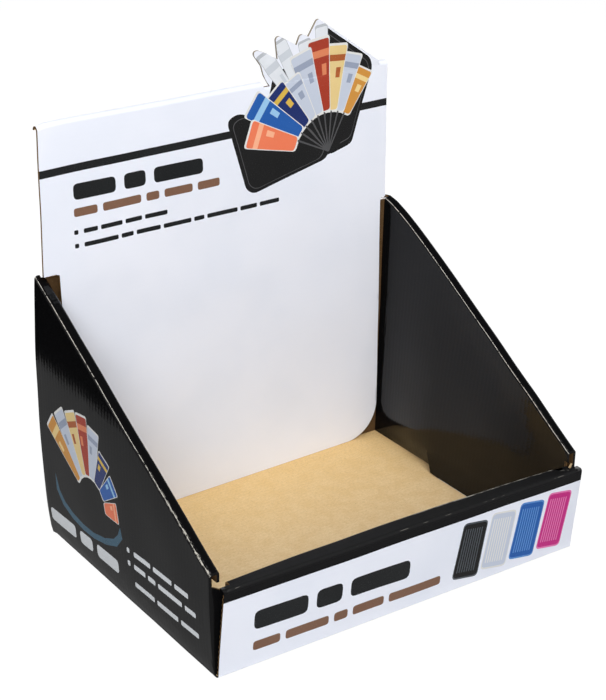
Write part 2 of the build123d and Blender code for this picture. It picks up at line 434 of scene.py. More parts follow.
    def header_shift(self, x: np.ndarray, z: np.ndarray) -> np.ndarray:
        """How far a point of the header panel moves along Y."""
        fall = 1 - z / self.card.header_height
        return (self.twist_middle + self.twist * x / 117.0) * fall

    def crown_shift(self, x: np.ndarray, z: np.ndarray) -> np.ndarray:
        """How far the ends of the header's bend are crushed down, and the raised cards stand taller."""
        crown = self.card.header_height
        high = smooth(crown - self.crown_depth, crown, z) * (z < crown + 4.0)
        ends = smooth(-113.0, self.card.header_left, x) + self.right_corner * smooth(113.0, 118.6, x)
        first = np.exp(-(((x - 25.0) / 8.0) ** 2) - ((z - 276.0) / 9.0) ** 2)
        return -self.corner_drop * high * ends + self.tip_rise * first

    def tip_shift(self, x: np.ndarray, z: np.ndarray) -> np.ndarray:
        """How far the first raised card leans out to the left."""
        lean = self.tip_out * smooth(261.0, 274.0, z) * smooth(33.0, 25.0, x)
        foot = self.tip_foot * smooth(250.0, 255.0, z) * smooth(266.0, 258.0, z) * smooth(38.0, 29.0, x)
        return np.where(x > 10.0, lean + foot, 0.0)

    def front_shift(self, x: np.ndarray, y: np.ndarray, z: np.ndarray) -> np.ndarray:
        """How far a point of the front wall moves along Y."""
        card = self.card
        along = x / card.half_width
        outer = -self.front_out - self.front_twist * along
        mean = (self.strip_left + self.strip_right) / 2
        ends = mean + (self.strip_right - self.strip_left) / 2 * along
        inner = ends + (self.strip_middle - mean) * (1 - along**2)
        rise = np.clip(z / card.front_height, 0, 1)
        outer_y = -card.half_depth - card.front_lean * rise
        reach = card.front_foot - (card.front_foot + card.front_lean - card.front_strip) * rise
        inner_y = -card.half_depth + reach
        across = np.clip((y - outer_y) / (inner_y - outer_y), 0, 1)
        return (outer + (inner - outer) * across) * rise - self.crease(z) * smooth(-94.0, -95.0, y)

    def flap_shift(self, x: np.ndarray, z: np.ndarray) -> np.ndarray:
        """How far a point of a front flap moves along Y, to stay clear of the wall's inner layer."""
        free = np.clip((self.card.half_width - np.abs(x)) / 12.0, 0, 1)
        return -self.flap_clear * free * np.clip(z / self.card.front_height, 0, 1)

    def tab_shift(self, x: np.ndarray, y: np.ndarray, z: np.ndarray) -> np.ndarray:
        """How far a point of a lock tab moves along Y, to give the tab its shoulders on the floor."""
        card = self.card
        drop = np.clip((card.tab_top - z) / (card.tab_top - 0.9), 0, 1)
        half = card.tab_half - card.tab_taper * drop
        wide = card.tab_half - self.tab_shoulder * drop
        off = y - card.tab_middle
        tab = (np.abs(x) > 108.5) & (np.abs(x) < 117.3) & (np.abs(off) < half + 0.1)
        tab &= (z > 2.1) & (z < card.tab_top + 0.3)
        return np.where(tab, off * (wide / half - 1), 0.0)

    def tab_swing(self, x: np.ndarray, y: np.ndarray, z: np.ndarray) -> np.ndarray:
        """How far a side wall's inner layer swells inwards over its lock tab."""
        card = self.card
        beside = np.abs(x)
        inner = (beside > card.inner_near) & (beside < card.inner_far)
        inner &= (z > 1.9) & (np.abs(y) < card.wall_back - 2.0)
        along = smooth(card.tab_half + 62.0, card.tab_half, np.abs(y - card.tab_middle))
        rise = np.clip(z / card.tab_top, 0, 1) * smooth(self.wall_top(y) - 8.0, card.tab_top, z)
        in_slot = (np.abs(y - card.tab_middle) < card.tab_half + 0.5) & (z < card.tab_top)
        press = np.where(in_slot, self.tab_press * (1 - z / card.tab_top), 0.0)
        return np.where(inner, self.tab_swell * along * rise + press, 0.0)

    def inner_shift(self, x: np.ndarray, y: np.ndarray, z: np.ndarray) -> np.ndarray:
        """How far the front end of the right wall's inner layer reaches on towards the front."""
        card = self.card
        inner = (x > card.inner_near) & (x < card.inner_far)
        inner &= (z > 2.5) & (y > -card.wall_back + card.board + 0.3)
        below = smooth(0.5, 8.0, self.wall_top(y) - z)
        return np.where(inner, self.inner_reach * below * smooth(-60.0, -86.0, y), 0.0)

    def foot_drop(self, x: np.ndarray, y: np.ndarray, z: np.ndarray) -> np.ndarray:
        """How far the feet of the flaps behind the header come down to the floor's fold."""
        card = self.card
        flap = (y > card.wall_back - card.board - 0.1) & (y < card.wall_back + 0.05) & (z > 1.9)
        return np.where(flap & (np.abs(x) > card.flap_end), self.flap_drop * smooth(9.0, 3.4, z), 0.0)

    def ripples(self, points: np.ndarray) -> np.ndarray:
        """Faint, smooth unevenness all over, which leaves what stands on the counter flat."""
        cell = 1 / self.ripple_cell
        noise.seed_set(self.ripple_seed)
        waves = np.array([noise.noise_vector(Vector(p) * cell + self.ripple_from) for p in points])
        calm = np.clip(points[:, 2] / self.calm_height, 0, 1)
        return waves * (self.ripple * 2 * calm)[:, None]


@dataclass(frozen=True)
class Patch:
    """One printed field of colour: a convex outline on a panel and the ink that fills it."""

    outline: tuple[Point2, ...]
    ink: str


def rounded(corners: tuple[Point2, ...], radius: float, steps: int = 4) -> tuple[Point2, ...]:
    """Round the corners of a convex outline.

    Args:
        corners: The sharp corners, in order.
        radius: Distance from each corner at which its rounding starts.
        steps: Points on each rounding, less one.

    Returns:
        The rounded outline, in the same order.
    """
    outline = []
    count = len(corners)
    for i, corner in enumerate(corners):
        here = Vector(corner)
        before = Vector(corners[i - 1])
        after = Vector(corners[(i + 1) % count])
        reach = min(radius, (before - here).length / 2, (after - here).length / 2)
        start = here + (before - here).normalized() * reach
        end = here + (after - here).normalized() * reach
        for k in range(steps + 1):
            t = k / steps
            outline.append(tuple(start * (1 - t) ** 2 + here * (2 * t * (1 - t)) + end * t**2))
    return tuple(outline)


def scaled(outline: tuple[Point2, ...], share: float) -> tuple[Point2, ...]:
    """Draw a convex outline in towards its middle, to a share of its size."""
    count = len(outline)
    middle = (sum(p[0] for p in outline) / count, sum(p[1] for p in outline) / count)
    return tuple(tuple(m + (c - m) * share for c, m in zip(p, middle)) for p in outline)


def between(corners: tuple[Point2, ...], u: float, v: float) -> Point2:
    """Point of a four-cornered outline, at a share across it and a share down it."""
    top = Vector(corners[0]).lerp(Vector(corners[1]), u)
    low = Vector(corners[3]).lerp(Vector(corners[2]), u)
    return tuple(top.lerp(low, v))


def within(corners: tuple[Point2, ...], us: Point2, vs: Point2) -> tuple[Point2, ...]:
    """Part of a four-cornered outline, between two shares across it and two down it."""
    spots = ((us[0], vs[0]), (us[1], vs[0]), (us[1], vs[1]), (us[0], vs[1]))
    return tuple(between(corners, u, v) for u, v in spots)


@dataclass(frozen=True)
class Fan:
    """Fan of plain cards round one pivot, each from near to its reach and narrower at the near end."""

    pivot: Point2
    inks: tuple[str, ...]
    angles: tuple[float, ...]
    reach: tuple[float, ...]
    near: float
    near_half: float
    far_half: float
    corner: float
    rim: str = "rim_ink"

    def patches(self) -> list[Patch]:
        """Each card's rim, face, band and chip, from the lowest card to the topmost."""
        patches = []
        for ink, angle, reach in zip(self.inks, self.angles, self.reach):
            turn = math.radians(angle)
            axis = Vector((math.cos(turn), math.sin(turn)))
            aside = Vector((-axis.y, axis.x))
            base = Vector(self.pivot)
            far, near = base + axis * reach, base + axis * self.near
            corners = (
                tuple(far + aside * self.far_half),
                tuple(far - aside * self.far_half),
                tuple(near - aside * self.near_half),
                tuple(near + aside * self.near_half),
            )
            patches.append(Patch(rounded(corners, self.corner), self.rim))
            face = scaled(corners, 0.93)
            patches.append(Patch(rounded(face, self.corner * 0.9), ink))
            patches.append(Patch(within(face, (0.0, 1.0), (0.14, 0.24)), "band_" + ink))
            patches.append(Patch(within(face, (0.58, 0.84), (0.34, 0.5)), "band_" + ink))
        return patches


@dataclass(frozen=True)
class Bars:
    """Row of plain bars that fills a line of the print."""

    low: float
    height: float
    runs: tuple[Point2, ...]
    ink: str
    slope: float = 0.0

    def patches(self) -> list[Patch]:
        """One rounded bar for each run of start and length."""
        start = self.runs[0][0]
        patches = []
        for left, length in self.runs:
            low = self.low + (left - start) * self.slope
            rise = self.slope * length
            corners = (
                (left, low),
                (left + length, low + rise),
                (left + length, low + rise + self.height),
                (left, low + self.height),
            )
            patches.append(Patch(rounded(corners, self.height * 0.3, 3), self.ink))
        return patches


@dataclass(frozen=True)
class Swatch:
    """Slanting, ribbed block of plain colour."""

    corners: tuple[Point2, ...]
    ink: str
    rib: str
    ribs: int = 8
    corner: float = 3.0

    def patches(self) -> list[Patch]:
        """The block's rim, its face and its ribs."""
        patches = [Patch(rounded(self.corners, self.corner), self.rib)]
        face = scaled(self.corners, 0.94)
        patches.append(Patch(rounded(face, self.corner - 0.4), self.ink))
        for i in range(self.ribs):
            start = 0.1 + 0.8 * i / self.ribs
            patches.append(Patch(within(face, (start, start + 0.36 / self.ribs), (0.09, 0.91)), self.rib))
        return patches


def plate(corners: tuple[Point2, ...], radius: float) -> list[Patch]:
    """Dark rounded plate with a fine line inside its rim."""
    layers = (
        (corners, "plate_ink"),
        (scaled(corners, 0.9), "plate_line_ink"),
        (scaled(corners, 0.885), "plate_ink"),
    )
    return [Patch(rounded(outline, radius), ink) for outline, ink in layers]


def header_bars() -> list[Bars]:
    """Rows of plain bars on the header panel."""
    return [
        Bars(207.2, 9.4, ((-99.5, 27.0), (-67.0, 14.0), (-47.5, 33.0)), "black_ink"),
        Bars(
            197.4,
            5.0,
            ((-100.0, 15.0), (-81.5, 25.0), (-53.0, 8.5), (-41.0, 19.0), (-18.5, 15.0)),
            "brown_ink",
        ),
        Bars(
            187.0,
            2.7,
            ((-100.6, 2.7), (-94.5, 9.0), (-83.5, 14.0), (-67.5, 11.0), (-54.5, 15.0)),
            "black_ink",
        ),
        Bars(
            178.9,
            2.7,
            ((-100.6, 2.7), (-94.5, 22.0), (-70.5, 8.0), (-60.5, 16.0), (-42.5, 19.0), (-21.5, 7.0))
            + ((-12.5, 21.0), (10.5, 12.0), (24.5, 14.0)),
            "black_ink",
        ),
    ]


def fan_ribs(pivot: Point2, count: int, first: float, step: float, reach: float) -> list[Patch]:
    """Fine grey ribs that spread from a fan's pivot.

    Args:
        pivot: Where the ribs meet.
        count: How many there are.
        first: Angle of the first one, in degrees.
        step: Angle between two ribs, in degrees.
        reach: Length of a rib.

    Returns:
        One patch for each rib.
    """
    patches = []
    base = Vector(pivot)
    for i in range(count):
        turn = math.radians(first + step * i)
        axis = Vector((math.cos(turn), math.sin(turn)))
        aside = Vector((-axis.y, axis.x))
        tip = base + axis * reach
        rib = (base + aside * 0.4, base - aside * 0.4, tip - aside * 0.55, tip + aside * 0.55)
        patches.append(Patch(tuple(tuple(p) for p in rib), "plate_line_ink"))
    return patches


def header_print() -> list[Patch]:
    """Plain shapes on the header panel, in X and Z."""
    stripe = ((-125.0, 223.3), (125.0, 225.5), (125.0, 230.1), (-125.0, 227.9))
    patches = [Patch(stripe, "black_ink")]
    for row in header_bars():
        patches += row.patches()
    pivot = (75.0, 204.0)
    upper = (
        *((66.8, 281.2), (72.0, 281.6), (105.4, 257.8), (107.4, 251.6)),
        *((92.0, 206.0), (76.0, 201.6), (70.0, 206.0)),
    )
    middle = (
        *((36.0, 258.0), (62.0, 268.0), (84.0, 240.0), (84.0, 206.0)),
        *((74.0, 201.0), (40.0, 214.0), (30.0, 238.0)),
    )
    lower = (
        *((2.6, 235.0), (10.0, 238.6), (64.0, 222.0), (76.5, 206.5)),
        *((73.5, 199.6), (20.5, 187.4), (15.0, 190.6)),
    )
    sheets = Fan(
        pivot,
        ("sheet_ink",) * 4,
        angles=(124.5, 116.0, 104.5, 94.5),
        reach=(81.5, 82.5, 74.0, 79.5),
        near=30.0,
        near_half=4.0,
        far_half=4.6,
        corner=1.8,
        rim="sheet_rim_ink",
    )
    upper_cards = Fan(
        pivot,
        ("amber_ink", "silver_ink", "cream_ink", "red_ink", "silver_ink"),
        angles=(62.0, 73.5, 85.0, 96.5, 108.0),
        reach=(55.0, 61.5, 66.5, 72.0, 68.0),
        near=24.0,
        near_half=4.4,
        far_half=8.2,
        corner=2.2,
    )
    lower_cards = Fan(
        pivot,
        ("silver_ink", "navy_ink", "blue_ink", "coral_ink"),
        angles=(121.0, 132.5, 145.0, 160.0),
        reach=(57.0, 60.0, 68.0, 62.0),
        near=24.0,
        near_half=4.6,
        far_half=9.2,
        corner=2.4,
    )
    patches += plate(upper, 3.0)
    patches.append(Patch(rounded(middle, 4.0), "plate_ink"))
    patches += sheets.patches() + upper_cards.patches()
    patches += plate(lower, 4.0)
    patches += lower_cards.patches()
    return patches + fan_ribs(pivot, 9, 62.0, 11.6, 25.0)


def front_print() -> list[Patch]:
    """Plain shapes on the front wall, in X and Z."""
    patches = []
    rows = [
        Bars(23.6, 12.0, ((-101.0, 34.0), (-61.5, 17.0), (-39.0, 40.0)), "black_ink", -0.02),
        Bars(
            10.2,
            5.8,
            ((-101.0, 17.0), (-80.5, 28.0), (-49.0, 9.0), (-36.5, 21.0), (-12.0, 36.0)),
            "brown_ink",
            -0.01,
        ),
    ]
    for row in rows:
        patches += row.patches()
    first, step = 32.5, 20.6
    swatches = (
        ("plate_ink", "slate_ink"),
        ("silver_ink", "rim_ink"),
        ("blue_ink", "sky_ink"),
        ("magenta_ink", "pink_ink"),
    )
    for i, (ink, rib) in enumerate(swatches):
        left = first + step * i
        tilt = -0.8 * i
        corners = (
            (left + 4.6, 45.0 - tilt * 0.3),
            (left + 22.4, 42.2 - tilt * 0.3),
            (left + 18.6, 4.8),
            (left, 8.0),
        )
        patches += Swatch(corners, ink, rib).patches()
    return patches


def left_print() -> list[Patch]:
    """Plain shapes on the left wall, in Y and Z."""
    patches = []
    outer = (
        *((77.5, 47.5), (77.2, 37.0), (70.0, 29.6), (59.0, 25.6), (46.0, 24.0)),
        *((33.0, 24.6), (19.0, 27.4), (6.0, 32.4), (-1.2, 40.4), (0.6, 46.6)),
    )
    inner = (
        *((77.0, 47.0), (73.6, 38.4), (67.6, 33.0), (58.0, 29.8), (46.0, 28.2)),
        *((33.4, 28.4), (20.0, 31.2), (9.0, 36.0), (3.6, 41.2), (1.2, 46.2)),
    )
    for a, b, c, d in zip(outer, outer[1:], inner[1:], inner):
        patches.append(Patch((a, b, c, d), "arc_ink"))
    cards = ("amber", "silver", "cream", "red", "silver", "navy", "blue", "coral")
    fan = Fan(
        (33.0, 48.0),
        tuple(f"{card}_ink" for card in cards),
        angles=(36.0, 51.0, 66.0, 81.0, 97.0, 116.0, 140.0, 168.0),
        reach=(58.0, 57.0, 54.0, 53.0, 49.0, 40.0, 36.0, 31.0),
        near=15.0,
        near_half=3.6,
        far_half=6.6,
        corner=1.6,
    )
    patches += fan.patches()
    rows = [
        Bars(14.4, 8.6, ((6.0, 25.0), (36.5, 15.0), (57.0, 31.0)), "white_ink", -0.03),
        Bars(38.2, 3.1, ((-71.5, 14.0), (-54.5, 20.0), (-31.5, 18.0), (-8.6, 2.8)), "white_ink", -0.05),
        Bars(
            29.8,
            3.1,
            ((-78.5, 11.0), (-64.5, 25.0), (-36.5, 8.0), (-25.5, 12.5), (-8.8, 2.8)),
            "white_ink",
            -0.04,
        ),
        Bars(18.0, 3.1, ((-80.5, 18.0), (-59.5, 22.0), (-34.5, 21.5)), "white_ink", -0.03),
    ]
    for row in rows:
        patches += row.patches()
    return patches


@dataclass
class Sheet:
    """The folded, printed sheet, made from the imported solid's mesh."""

    card: Card
    bows: Bows
    cell: float = 6.0
    liner_angle: float = 50.0
    sharp_angle: float = 42.0
    flap_area: float = 600.0
    near: float = 0.002

    def build(
        self,
        source: bpy.types.Object,
        inks: dict[str, bpy.types.Material],
        patches: dict[Panel, list[Patch]],
    ) -> bpy.types.Object:
        """Build the sheet.

        Args:
            source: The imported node's object.
            inks: Materials by name.
            patches: The printed shapes of each panel.

        Returns:
            The finished object.
        """
        self.names = list(inks)
        mesh = bmesh.new()
        mesh.from_mesh(source.data)
        bmesh.ops.scale(mesh, vec=(1 / MM,) * 3, verts=mesh.verts)
        bmesh.ops.remove_doubles(mesh, verts=mesh.verts, dist=0.001)
        bmesh.ops.dissolve_limit(
            mesh, angle_limit=math.radians(0.05), verts=mesh.verts, edges=mesh.edges, delimit={"NORMAL"}
        )
        self.sides = mesh.faces.layers.int.new("side")
        self.panels = mesh.faces.layers.int.new("panel")
        self.mark_sides(mesh)
        self.cut_grid(mesh)
        self.mark_panels(mesh)
        for panel, shapes in patches.items():
            self.stamp(mesh, panel, shapes)
        ply = mesh.verts.layers.float.new("ply")
        for vertex in mesh.verts:
            sides = {face[self.sides] for face in vertex.link_faces}
            vertex[ply] = 0.0 if Side.PRINT in sides else 1.0 if Side.LINER in sides else 0.5
        rest = mesh.verts.layers.float_vector.new("rest")
        places = np.array([v.co for v in mesh.verts])
        moved = self.bows.move(places)
        for vertex, old, new in zip(mesh.verts, places, moved):
            vertex[rest] = Vector(old) * MM
            vertex.co = Vector(new) * MM
        data = bpy.data.meshes.new("folded_card")
        mesh.to_mesh(data)
        mesh.free()
        for material in inks.values():
            data.materials.append(material)
        data.shade_smooth()
        data.set_sharp_from_angle(angle=math.radians(self.sharp_angle))
        piece = bpy.data.objects.new("folded_card", data)
        bpy.context.scene.collection.objects.link(piece)
        weighted = piece.modifiers.new("even_shading", "WEIGHTED_NORMAL")
        weighted.keep_sharp = True
        weighted.mode = "FACE_AREA"
        return piece

    def mark_sides(self, mesh: bmesh.types.BMesh) -> None:
        """Mark each face as print, liner or cut edge, by following the smooth folds from the floor."""
        mesh.faces.ensure_lookup_table()
        groups = self.smooth_groups(mesh)
        for faces in groups:
            area = sum(f.calc_area() for f in faces)
            facing = sum((f.normal * f.calc_area() for f in faces), Vector()) / area
            middle = sum((f.calc_center_median() * f.calc_area() for f in faces), Vector()) / area
            side = Side.CUT
            if area > 100 * self.flap_area:
                side = Side.PRINT if facing.z < 0 else Side.LINER
            elif area > self.flap_area and abs(facing.y) > 0.9:
                side = Side.PRINT if facing.y * middle.y > 0 else Side.LINER
            elif area > self.flap_area:
                side = Side.LINER
            for face in faces:
                face[self.sides] = side

    def smooth_groups(self, mesh: bmesh.types.BMesh) -> list[list[bmesh.types.BMFace]]:
        """Groups of faces that meet at less than the liner angle."""
        limit = math.radians(self.liner_angle)
        seen: set[int] = set()
        groups = []
        mesh.faces.index_update()
        for first in mesh.faces:
            if first.index in seen:
                continue
            seen.add(first.index)
            stack, members = [first], []
            while stack:
                face = stack.pop()
                members.append(face)
                for edge in face.edges:
                    if edge.calc_face_angle(math.pi) < limit:
                        for other in edge.link_faces:
                            if other.index not in seen:
                                seen.add(other.index)
                                stack.append(other)
            groups.append(members)
        return groups

    def cut_grid(self, mesh: bmesh.types.BMesh) -> None:
        """Cut every panel into cells, with the front wall's ink line and the creases as cuts too."""
        low = Vector(tuple(min(v.co[i] for v in mesh.verts) for i in range(3)))
        high = Vector(tuple(max(v.co[i] for v in mesh.verts) for i in range(3)))
        for axis in range(3):
            normal = Vector((0, 0, 0))
            normal[axis] = 1
            count = int((high[axis] - low[axis]) / self.cell)
            for k in range(1, count + 1):
                place = Vector((0, 0, 0))
                place[axis] = low[axis] + k * self.cell
                parts = mesh.verts[:] + mesh.edges[:] + mesh.faces[:]
                bmesh.ops.bisect_plane(mesh, geom=parts, plane_co=place, plane_no=normal, dist=0.01)
        band = [f for f in mesh.faces if f.calc_center_median().y < -self.card.wall_back - 0.2]
        self.slice(mesh, band, Vector((0, 0, self.card.band_low)), Vector((0, 0, 1)))
        for height in (2.0, 2.3):
            tabs = [f for f in mesh.faces if self.is_tab(f.calc_center_median())]
            self.slice(mesh, tabs, Vector((0, 0, height)), Vector((0, 0, 1)))

    def is_tab(self, place: Vector) -> bool:
        """Whether a face's middle lies on one of the lock tabs."""
        card = self.card
        along = abs(place.y - card.tab_middle) < card.tab_half
        return 108.5 < abs(place.x) < 117.0 and along and 1.7 < place.z < card.tab_top + 0.2

    def slice(self, mesh: bmesh.types.BMesh, faces: list, place: Vector, normal: Vector) -> list:
        """Cut some faces by a plane, and give the faces that they became."""
        gaps = {v: (v.co - place).dot(normal) for f in faces for v in f.verts}
        level = {v for v, gap in gaps.items() if abs(gap) < self.near}
        for edge in {e for f in faces for e in f.edges}:
            start, end = edge.verts
            if start not in level and end not in level and gaps[start] * gaps[end] < 0:
                share = gaps[start] / (gaps[start] - gaps[end])
                fresh = bmesh.utils.edge_split(edge, start, share)[1]
                gaps[fresh] = 0.0
                level.add(fresh)
        pieces = []
        for face in faces:
            pieces.append(face)
            sides = {gaps[v] > 0 for v in face.verts if v not in level}
            if len(sides) < 2:
                continue
            ends = [v for v in face.verts if v in level]
            if len(ends) == 2:
                pieces.append(bmesh.utils.face_split(face, ends[0], ends[1])[0])
                continue
            pieces.pop()
            parts = [*face.verts, *face.edges, face]
            cut = bmesh.ops.bisect_plane(mesh, geom=parts, plane_co=place, plane_no=normal, dist=self.near)
            pieces += [g for g in cut["geom"] if isinstance(g, bmesh.types.BMFace)]
        return pieces

    def mark_panels(self, mesh: bmesh.types.BMesh) -> None:
        """Give each face its finish, and mark the panels that are printed with shapes."""
        for face in mesh.faces:
            side = face[self.sides]
            if side == Side.LINER:
                # Liner on the back flaps and inside the turned-over walls takes the kraft with painted
                # shade; the rest takes the plain kraft.
                name = "kraft_shaded" if self.is_hidden(face) else "kraft"
            elif side == Side.CUT:
                high = face.calc_center_median().z > self.card.outline_foot
                name = "raised_edge" if high else "cut_edge"
            else:
                face[self.panels] = self.panel_of(face)
                name = "white_print" if self.is_white(face) else "black_print"
            face.material_index = self.names.index(name)

    def is_hidden(self, face: bmesh.types.BMFace) -> bool:
        """Whether a liner face lies on a back flap or inside a turned-over wall, which take the kraft with
        painted shade.
        """
        card = self.card
        y, z = face.calc_center_median().yz
        nx, ny, nz = face.normal
        flap = card.wall_back - card.board - 0.3 < y < card.wall_back + 0.1 and abs(ny) > 0.9 and z > 3.0
        side_wall = abs(nx) > 0.8 or (nz < -0.5 and 30.0 < z < 170.0)
        front_wall = abs(ny) > 0.8 and y < -80.0 and not (ny > 0.8 and y > -93.0)
        return flap or side_wall or front_wall

    def panel_of(self, face: bmesh.types.BMFace) -> Panel:
        """Which printed panel an outer face belongs to."""
        card = self.card
        x, y, _ = face.calc_center_median()
        nx, ny, _ = face.normal
        if ny < -0.8 and y > 80 and abs(x) < 120.3 and abs(nx) < 0.3:
            return Panel.HEADER
        if ny < -0.8 and y < -card.wall_back - 0.1:
            return Panel.FRONT
        if nx < -0.8 and x < -card.half_width + 0.5:
            return Panel.LEFT
        return Panel.NONE

    def is_white(self, face: bmesh.types.BMFace) -> bool:
        """Whether a printed face is white: on the header, the back, the underside or the front."""
        card = self.card
        y, z = face.calc_center_median().yz
        nx, ny, nz = face.normal
        back = y > card.wall_back + 0.1 or z > card.side_back + 0.5
        under = nz < -0.6 and z < 1.0
        front = y < -card.wall_back - 0.1 and z < card.band_low
        front = front and ny < -0.1 and nz < 0.4 and abs(nx) < 0.5
        return back or under or front or face[self.panels] == Panel.HEADER

    def stamp(self, mesh: bmesh.types.BMesh, panel: Panel, shapes: list[Patch]) -> None:
        """Cut printed shapes into a panel's faces and give them their inks.

        Args:
            mesh: The sheet.
            panel: The panel to print.
            shapes: The shapes, from the lowest to the topmost.
        """
        across = 1 if panel == Panel.LEFT else 0
        pool = {f: self.extent(f, across) for f in mesh.faces if f[self.panels] == panel}
        for shape in shapes:
            outline = [Vector(p) for p in shape.outline]
            low = Vector((min(p.x for p in outline), min(p.y for p in outline)))
            high = Vector((max(p.x for p in outline), max(p.y for p in outline)))
            inside = [
                face
                for face, (left, right, foot, top) in pool.items()
                if left < high.x and right > low.x and foot < high.y and top > low.y
            ]
            for face in inside:
                del pool[face]
            turn = sum((b.x - a.x) * (b.y + a.y) for a, b in zip(outline, outline[1:] + outline[:1]))
            hand = 1 if turn > 0 else -1
            for a, b in zip(outline, outline[1:] + outline[:1]):
                step = b - a
                if step.length < 1e-4 or not inside:
                    continue
                flat = Vector((step.y, -step.x)).normalized() * hand
                place, normal = Vector((0, 0, a.y)), Vector((0, 0, flat.y))
                place[across], normal[across] = a.x, flat.x
                kept = []
                for face in self.slice(mesh, inside, place, normal):
                    if (face.calc_center_median() - place).dot(normal) > 0:
                        kept.append(face)
                    else:
                        pool[face] = self.extent(face, across)
                inside = kept
            for face in inside:
                face.material_index = self.names.index(shape.ink)
                pool[face] = self.extent(face, across)

    def extent(self, face: bmesh.types.BMFace, across: int) -> tuple[float, float, float, float]:
        """Lowest and highest place of a face across its panel and up it."""
        us = [v.co[across] for v in face.verts]
        vs = [v.co.z for v in face.verts]
        return min(us), max(us), min(vs), max(vs)


